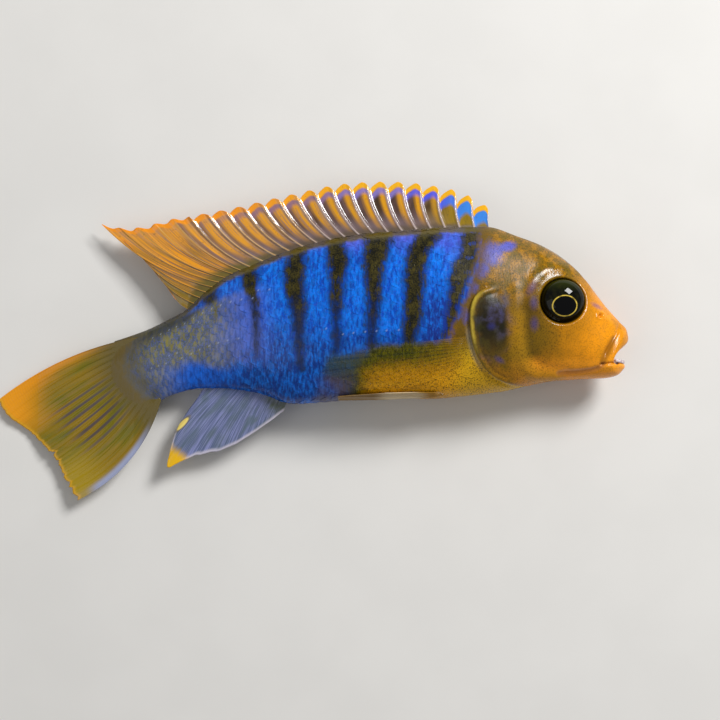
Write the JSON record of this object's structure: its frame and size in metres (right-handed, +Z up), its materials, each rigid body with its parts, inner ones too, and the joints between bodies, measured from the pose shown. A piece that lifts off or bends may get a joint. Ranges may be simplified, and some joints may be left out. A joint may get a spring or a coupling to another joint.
{
  "type": "mbuna cichlid fish model",
  "caption": "Life-size still model of a Metriaclima hajomaylandi cichlid lying on its left side, dorsal fin raised and paired fins folded along the body.",
  "frame": {"origin": "middle of the box in X and Y, on the floor that the fish lies on", "axes": "+X towards the snout along the fish's length, +Y towards its back, +Z up from the floor to its right side"},
  "size_m": [0.1058, 0.0534, 0.0138],
  "materials": {
    "head_skin": "wet scaled skin, yellow-orange with blue-grey spots",
    "flank_skin": "wet scaled skin, bright blue with dark bars",
    "stem_skin": "wet scaled skin, grey-blue and lavender with olive spots",
    "dorsal_membrane": "wet membrane, orange margin and lavender streaks",
    "caudal_membrane": "wet membrane, olive-yellow with grey rays",
    "anal_membrane": "wet membrane, blue-grey with one pale yellow egg spot",
    "pectoral_membrane": "clear wet membrane, yellow-green",
    "pelvic_membrane": "wet membrane, whitish",
    "eye_glossy": "glossy black with a gold ring",
    "tooth_enamel": "small pale teeth along the lower jaw"
  },
  "bodies": {
    "root": {"head": "head_skin", "trunk": "flank_skin", "tail_stem": "stem_skin", "dorsal_fin": "dorsal_membrane", "caudal_fin": "caudal_membrane", "anal_fin": "anal_membrane", "pectoral_fin_right": "pectoral_membrane", "pectoral_fin_left": "pectoral_membrane", "pelvic_fin_right": "pelvic_membrane", "pelvic_fin_left": "pelvic_membrane", "eye_right": "eye_glossy", "eye_left": "eye_glossy", "lower_teeth": "tooth_enamel"}
  },
  "joints": []
}
